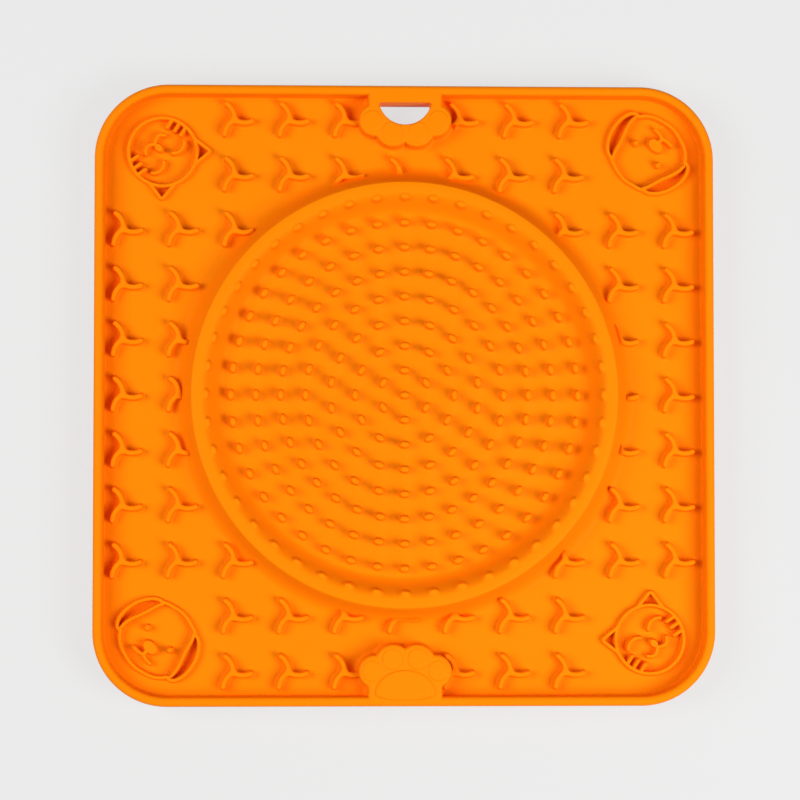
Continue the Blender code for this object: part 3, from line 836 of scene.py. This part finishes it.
def ridgeLoops(hubs):
    # loops from foot to top round each hub, at a share of the full height, lower where the ring's side stands
    loops = np.array([armLoop(offset) for offset, _ in ridge["profile"]])
    shares = np.array([share for _, share in ridge["profile"]])
    flat = hubs[:, None, None] + loops[None]
    near, over = ridge["fade"]
    fade = smoothStep((np.hypot(flat[..., 0], flat[..., 1]) - near) / over)
    # the first ridge right of the hang tab has a stub for its third arm, whose place the toe takes
    rear = hubs[:, 1] > (ridge["rows"] - 0.5) * ridge["pitch"]
    beside = np.where(rear & (hubs[:, 0] > 0), hubs[:, 0], np.inf)
    right, left = ridge["stub"]
    fade[np.argmin(beside), :, loops.shape[1] // 3 * 2 + right:-left] = 0
    height = ridgeTop - floorLevel + ridge["crown"]
    z = floorLevel + height * shares[None, :, None] * fade
    return together(flat[..., 0], flat[..., 1], z)


def ridgeTopFaces(points):
    # closes a ridge's top: quads across each arm, a fan at each tip and one triangle at the hub
    sideSteps, tipSteps = ridge["sideSteps"], ridge["tipSteps"]
    perArm = points // 3
    quads, triangles = [], []
    for base in np.arange(3) * perArm:
        rightSide = base + np.arange(sideSteps)
        tip = base + sideSteps + np.arange(tipSteps - 1)
        left = base + sideSteps + tipSteps - 1 + np.arange(sideSteps - 1)[::-1]
        leftSide = np.concatenate([[(base + perArm) % points], left])
        quads.append(together(rightSide[:-1], rightSide[1:], leftSide[1:], leftSide[:-1]))
        around = np.concatenate([rightSide[-1:], tip, leftSide[-1:]])
        triangles.append(together(around[0], around[1:-1], around[2:]))
    triangles.append(np.array([[0, perArm, 2 * perArm]]))
    return np.concatenate(quads), np.concatenate(triangles)


def floorLoops():
    # the loops that go through the sheet: its outer edge, then the bowl, the hang slot and the corner faces
    edge = mat["cornerRadius"] - matHalf + floorEdge
    outer = squareLoop(floorEdge, edge, rim["perCorner"], rim["perSide"])[0]
    bowlLoop = circleLoop(dishRadius + floorPlate["bowlHole"], floorPlate["bowlSteps"])
    rays = evenTurns(floorPlate["slotRays"])
    reach = rayLoop(slotDistance, slot["middle"], rays, slot["step"], paw["reach"])
    slotY = matHalf - slot["middle"][1] - reach * np.sin(rays)
    loops = [outer, bowlLoop, together(-reach * np.cos(rays), slotY)]
    for kind, _, corner, nudge in faceCorners.values():
        reach = headReach(kind, faceLine["edgeReach"] - floorPlate["faceTuck"])
        loops.append(intoCorner(reach[:, None] * towards(faceRays), corner, nudge))
    return loops


def makeFloor():
    # the top is filled between the loops and the ridges' feet, and walls join it to the flat underside
    hubs = ridgeHubs()
    ridges = ridgeLoops(hubs)
    levels, around = ridges.shape[1:3]
    through = floorLoops()
    topFill = fillFlat(through[0], through[1:] + list(ridges[:, 0, :, :2]))
    bottomFill = fillFlat(through[0], through[1:])
    edgePoints = np.concatenate(through)
    edgeCount = len(edgePoints)
    top, bottom = [together(*edgePoints.T, level) for level in (floorLevel, underside)]
    points = np.concatenate([top, bottom, ridges.reshape(-1, 3)])
    starts = 2 * edgeCount + np.arange(len(hubs)) * levels * around
    # the top's fill is numbered over the edge loops and then the feet, which come first in each ridge
    feet = starts[:, None] + np.arange(around)
    numbers = np.concatenate([np.arange(edgeCount), feet.ravel()])
    walls = []
    first = 0
    for loop in through:
        wall = wallFaces(first, len(loop), edgeCount)
        walls.append(wall if first == 0 else wall[:, ::-1])  # a hole's wall looks into the hole
        first += len(loop)
    sides = gridFaces(levels, around, wrapCols=True)
    quads, triangles = [faces + (levels - 1) * around for faces in ridgeTopFaces(around)]
    ridgeFaces = [repeatFaces(faces, starts) for faces in (sides, quads, triangles)]
    faceSets = [numbers[topFill], edgeCount + bottomFill[:, ::-1], np.concatenate(walls), *ridgeFaces]
    putPiece("floorSheet", (points, faceSets), "floor_sheet")
    print("ridges on the floor", len(hubs))


makeFloor()

# Bowl ring: a crowned wall turned about the middle, with one ring of nubs on its inner shoulder.
bowl = {
    "innerFoot": 58.3,
    "crownInner": 66.0,
    "crownOuter": 68.5,
    "outerFoot": 75.0,
    "sidePower": 0.64,  # under 1 the outer side falls early and runs out long
    "crownDome": 0.1,
    "nubCount": 44,
    "nubRadius": 64.0,
    "nubHalf": (1.7, 1.1),  # along the ring and across it
    "nubSoft": 0.46,
    "nubSunk": 0.25,  # below the CAD's own nub tops, which have sharp edges
    "nubLimit": 1.0,  # no nub comes nearer to the crown's outer edge
    "perNub": 28,
    "fineSteps": 400,  # of the sum that spaces the points of a nub's sector
    "closer": (3.0, 0.07),  # added density of points at a nub's two ends, and its reach in sectors
    "slopeRows": 40,
    "crownRows": 12,
    "sideRows": 22,
    "sharpAngle": 75.0,
}


def ringProfile():
    # (radius, height) from the dish's edge: half a cosine wave up, a slight dome, and half a cosine wave
    # down whose share of the way is raised to a power
    low = floorLevel - mat["tuck"]
    rise = rimTop - low
    inner, outer, foot = bowl["crownInner"], bowl["crownOuter"], bowl["outerFoot"]
    slope = np.linspace(dishRadius, inner, bowl["slopeRows"])
    share = np.clip((slope - bowl["innerFoot"]) / (inner - bowl["innerFoot"]), 0, 1)
    up = together(slope, low + rise * (1 - np.cos(math.pi * share)) / 2)
    t = np.linspace(0, 1, bowl["crownRows"] + 1)[1:]
    dome = rimTop + bowl["crownDome"] * np.sin(math.pi * t) ** 2
    crown = together(inner + t * (outer - inner), dome)
    t = np.linspace(0, 1, bowl["sideRows"] + 1)[1:]
    fall = low + rise * (1 + np.cos(math.pi * t ** bowl["sidePower"])) / 2
    return np.concatenate([up, crown, together(outer + t * (foot - outer), fall)])


def ringAngles():
    # one nub's sector is sampled more closely near the nub's two ends, and repeated round the ring
    fine = np.linspace(-0.5, 0.5, bowl["fineSteps"])
    end = bowl["nubHalf"][0] * bowl["nubCount"] / (2 * math.pi * bowl["nubRadius"])
    more, reach = bowl["closer"]
    total = np.cumsum(1 + more * np.exp(-(((np.abs(fine) - end) / reach) ** 2)))
    total = (total - total[0]) / (total[-1] - total[0])
    places = np.interp(np.arange(bowl["perNub"]) / bowl["perNub"], total, fine)
    sectors = np.arange(bowl["nubCount"])[:, None] + places
    return math.pi / 2 + sectors.ravel() * 2 * math.pi / bowl["nubCount"]


def makeRing():
    # the profile turned about the middle; an S curve of an oval's distance lifts it to a nub's flat top
    profile = ringProfile()
    angles = ringAngles()
    radius = np.repeat(profile[:, :1], len(angles), axis=1)
    z = np.repeat(profile[:, 1:], len(angles), axis=1)
    sector = 2 * math.pi / bowl["nubCount"]
    around = (angles - math.pi / 2 + sector / 2) % sector - sector / 2
    along, across = bowl["nubHalf"]
    away = np.hypot(around[None] * bowl["nubRadius"] / along, (radius - bowl["nubRadius"]) / across) - 1
    lift = smoothStep(0.5 - away * across / (2 * bowl["nubSoft"]))
    lift = lift * (radius < bowl["crownOuter"] - bowl["nubLimit"])
    flatTop = boxOf("bowl_wall")[1][2] - bowl["nubSunk"]
    z = z + np.maximum(flatTop - z, 0) * lift
    low = np.array([[profile[-1, 0]], [profile[0, 0]]])  # the two lower edges close the profile
    radius = np.concatenate([radius, np.repeat(low, len(angles), axis=1)])
    z = np.concatenate([z, np.full((2, len(angles)), underside + 2 * mat["tuck"])])
    rings = together(radius * np.cos(angles), radius * np.sin(angles), z)
    putPiece("bowlRing", ringShell(rings), "bowl_wall", bowl["sharpAngle"])


makeRing()

# Dish: a round plate inside the ring, with rings of oval nubs whose long side follows the ring.
dish = {
    "pitch": 8.0,
    "nearRings": 4,
    "moreNubs": (6, 4),  # nubs that each ring adds, near the middle and further out
    "nubHalf": (1.7, 1.1),  # along the ring and across it, at half height
    "nubSides": 12,
    "crown": 0.5,  # a nub's rounded top stands this much over the CAD's flat one
    # (distance out from the nub's side, share of its height) from foot to top
    "nubProfile": ((0.6, 0.0), (0.28, 0.05), (0.13, 0.2), (0.06, 0.5), (-0.03, 0.8), (-0.18, 0.94),
                   (-0.5, 1.0)),
    "edge": 0.6,  # the plate reaches this far under the ring
    "steps": 240,
    "lift": 0.005,  # keeps the plate's underside clear of the floor's
}


def nubsIn(number):
    # one in the middle, then the near step times the ring's number; past the near rings the far step is
    # added for each ring and once more
    if number == 0:
        return 1
    last = dish["nearRings"]
    near, far = dish["moreNubs"]
    return near * number if number <= last else near * last + far * (number - last + 1)


def nubPlaces():
    # radii and turns of all nubs, ring by ring, the first of each ring at the rear
    places = []
    for number in range(int((dishRadius - dish["nubHalf"][1]) / dish["pitch"]) + 1):
        count = nubsIn(number)
        turns = math.pi / 2 + 2 * math.pi * np.arange(count) / count
        places.append(together(number * dish["pitch"], turns))
    return np.concatenate(places)


def makeDish():
    # a nub is an oval whose half widths grow by the profile's distance, on a plate filled between the feet
    places = nubPlaces()
    sides = evenTurns(dish["nubSides"])
    profile = np.array(dish["nubProfile"])
    along = (dish["nubHalf"][0] + profile[:, :1]) * np.cos(sides)
    across = (dish["nubHalf"][1] + profile[:, :1]) * np.sin(sides)
    radius, turn = places[:, :1, None], places[:, 1:, None]
    # across points outwards and along to its right, so that the loops run counter-clockwise from above
    x = (radius + across) * np.cos(turn) + along * np.sin(turn)
    y = (radius + across) * np.sin(turn) - along * np.cos(turn)
    height = nubTop - floorLevel + dish["crown"]
    nubs = together(x, y, floorLevel + height * profile[:, 1:])
    count, levels, around = x.shape
    tips = together(*(places[:, :1] * towards(places[:, 1])).T, nubTop + dish["crown"])
    steps = dish["steps"]
    edge = circleLoop(dishRadius + dish["edge"], steps)
    topFill = fillFlat(edge, list(nubs[:, 0, :, :2]))
    low = underside + dish["lift"]
    top, bottom = [together(*edge.T, level) for level in (floorLevel, low)]
    points = np.concatenate([top, bottom, [[0.0, 0.0, low]], nubs.reshape(-1, 3), tips])
    starts = 2 * steps + 1 + np.arange(count) * levels * around
    feet = starts[:, None] + np.arange(around)
    last = feet + (levels - 1) * around
    tipNumbers = len(points) - count + np.arange(count)[:, None]
    caps = together(last, np.roll(last, -1, axis=1), tipNumbers).reshape(-1, 3)
    numbers = np.concatenate([np.arange(steps), feet.ravel()])
    under = fanFaces(np.arange(steps)[::-1] + steps, 2 * steps)
    nubFaces = repeatFaces(gridFaces(levels, around, wrapCols=True), starts)
    faceSets = [numbers[topFill], wallFaces(0, steps, steps), under, nubFaces, caps]
    putPiece("lickDish", (points, faceSets), "lick_dish")
    print("nubs in the dish", count)


makeDish()

# Suction cups under the mat: a stem that widens to a thin lip round a shallow hollow.
cup = {
    "radius": 9.0,
    "stem": 5.0,
    "hollow": 1.4,
    "lip": 0.55,  # thickness at the rim of the cup
    "pole": 0.4,  # radius of the first ring round the hollow's middle
    "sidePower": 1.6,  # over 1 the stem widens mostly near the lip
    "fillet": (0.6, 0.55),  # reach outwards and upwards at the mat
    "filletDrop": 0.5,  # the fillet starts this far below the mat
    "rows": (9, 8, 10, 6),  # points of the hollow, the lip, the side and the fillet
    "steps": 56,
    "count": 16,
}


def cupProfile():
    # (radius, height): half a cosine wave for the hollow, half an ellipse for the lip, a power curve up
    # the stem and a quarter of an ellipse for the fillet
    hollowRows, lipRows, sideRows, filletRows = cup["rows"]
    stem, lip, pole = cup["stem"], cup["lip"], cup["pole"]
    flat = cup["radius"] - lip
    start = underside - cup["filletDrop"]
    out, up = cup["fillet"]
    t = np.linspace(0, 1, hollowRows)
    hollow = [pole + (flat - pole) * t, cup["hollow"] * (1 + np.cos(math.pi * t)) / 2]
    turns = np.linspace(-math.pi / 2, math.pi / 2, lipRows)[1:]
    edge = [flat + lip * np.cos(turns), lip / 2 + lip / 2 * np.sin(turns)]
    t = np.linspace(0, 1, sideRows)[1:]
    side = [stem + (flat - stem) * (1 - t) ** cup["sidePower"], lip + (start - lip) * t]
    turns = np.linspace(0, math.pi / 2, filletRows)[1:]
    fillet = [stem + out * (1 - np.cos(turns)), start + up * np.sin(turns)]
    return np.concatenate([together(*part) for part in (hollow, edge, side, fillet)])


def makeCups():
    # the profile turned about the middle of each cup's CAD node
    profile = cupProfile()
    for number in range(1, cup["count"] + 1):
        node = f"suction_cup_{number:02d}"
        low, high = boxOf(node)
        middle = (low + high) / 2
        putPiece(f"suctionCup{number:02d}", turnedShell(profile, cup["steps"], middle[:2]), node)


makeCups()

# Stage: a pale floor that takes the mat's shadow, seen by the camera at the backdrop's own grey.
stage = {
    "half": 1.5,  # metres
    "grey": 0.815,
    "shadowShare": 0.15,  # how much of the paint's own shade the camera sees
}


def makeStage():
    # seen directly or in gloss the floor is mostly a plain grey glow, and otherwise grey paint
    corners = np.array([[-1, -1, 0], [1, -1, 0], [1, 1, 0], [-1, 1, 0]], float) * stage["half"]
    mesh = bpy.data.meshes.new("paleFloor")
    mesh.from_pydata(corners.tolist(), [], [[0, 1, 2, 3]])
    material = bpy.data.materials.new("paleFloor")
    material.use_nodes = True
    nodes, links = material.node_tree.nodes, material.node_tree.links
    nodes.remove(nodes["Principled BSDF"])
    paint = nodes.new("ShaderNodeBsdfDiffuse")
    glow = nodes.new("ShaderNodeEmission")
    for shader in (paint, glow):
        setInputs(shader, {"Color": (stage["grey"], stage["grey"], stage["grey"], 1)})
    path = nodes.new("ShaderNodeLightPath")
    share = nodes.new("ShaderNodeMath")
    share.operation = "MULTIPLY"
    setInputs(share, {1: 1 - stage["shadowShare"]})
    seen = nodes.new("ShaderNodeMath")
    seen.operation = "MAXIMUM"
    mix = nodes.new("ShaderNodeMixShader")
    links.new(path.outputs["Is Camera Ray"], seen.inputs[0])
    links.new(path.outputs["Is Glossy Ray"], seen.inputs[1])
    links.new(seen.outputs[0], share.inputs[0])
    links.new(share.outputs[0], mix.inputs["Fac"])
    links.new(paint.outputs["BSDF"], mix.inputs[1])
    links.new(glow.outputs["Emission"], mix.inputs[2])
    links.new(mix.outputs["Shader"], nodes["Material Output"].inputs["Surface"])
    mesh.materials.append(material)
    putObject("paleFloor", mesh)


makeStage()

# Light: a soft lamp from the front right, a weaker one from the left, and a dim even sky.
lamps = {  # places and sizes in metres
    "rightLamp": {"place": (0.442, -0.216, 0.566), "size": (0.38, 0.42), "power": 4.5},
    "leftLamp": {"place": (-0.654, 0.046, 0.755), "size": (0.5, 0.55), "power": 6.1},
}
sky = {
    "strength": 0.16,  # as the mat is lit
    "seenStrength": 0.815,  # as the camera sees it
}


def makeLight():
    # each lamp is aimed at the mat's middle, and the sky is brighter only where the camera sees it
    for name, values in lamps.items():
        lamp = bpy.data.lights.new(name, "AREA")
        lamp.shape = "RECTANGLE"
        lamp.size, lamp.size_y = values["size"]  # across, and up towards the middle
        lamp.energy = values["power"]
        place = Vector(values["place"])
        aim = place.to_track_quat("Z", "Y").to_matrix().to_4x4()
        putObject(name, lamp).matrix_world = Matrix.Translation(place) @ aim
    world = bpy.data.worlds.new("paleSky")
    world.use_nodes = True
    nodes, links = world.node_tree.nodes, world.node_tree.links
    path = nodes.new("ShaderNodeLightPath")
    level = nodes.new("ShaderNodeMapRange")
    setInputs(level, {"To Min": sky["strength"], "To Max": sky["seenStrength"]})
    links.new(path.outputs["Is Camera Ray"], level.inputs["Value"])
    links.new(level.outputs["Result"], nodes["Background"].inputs["Strength"])
    setInputs(nodes["Background"], {"Color": (1, 1, 1, 1)})
    bpy.context.scene.world = world
    bpy.context.scene.view_settings.view_transform = "Standard"


makeLight()
print("stage and light ready")

# Camera: almost straight above, at the photograph's angle and frame.
camera = {
    "distance": 0.9,  # metres
    "tilt": (-2.6, 2.15, -0.1),  # degrees about x, y and z
    "focal": 3.0787,  # focal length in pixels of the frame, for each millimetre of distance
    "frame": 800,
    "offset": (4.08, -4.2),  # pixels that the mat's middle lies right of and below the frame's
    "sensor": 36.0,
    "near": 0.01,  # metres
}


def makeCamera():
    # the mat's tilt, turned back, is the camera's, which stands off from the middle of the mat's underside
    turnX, turnY, turnZ = [math.radians(a) for a in camera["tilt"]]
    turn = Matrix.Rotation(turnZ, 3, "Z") @ Matrix.Rotation(turnY, 3, "Y") @ Matrix.Rotation(turnX, 3, "X")
    back = turn.transposed()
    place = back @ Vector((0, 0, camera["distance"])) + Vector((0, 0, underside * mm))
    lens = bpy.data.cameras.new("photoCamera")
    lens.sensor_width = camera["sensor"]
    lens.lens = camera["focal"] * camera["distance"] / mm / camera["frame"] * camera["sensor"]
    lens.shift_x = -camera["offset"][0] / camera["frame"]
    lens.shift_y = camera["offset"][1] / camera["frame"]
    lens.clip_start = camera["near"]
    holder = putObject("photoCamera", lens)
    holder.matrix_world = Matrix.Translation(place) @ back.to_4x4()
    bpy.context.scene.camera = holder


makeCamera()
print("camera ready")
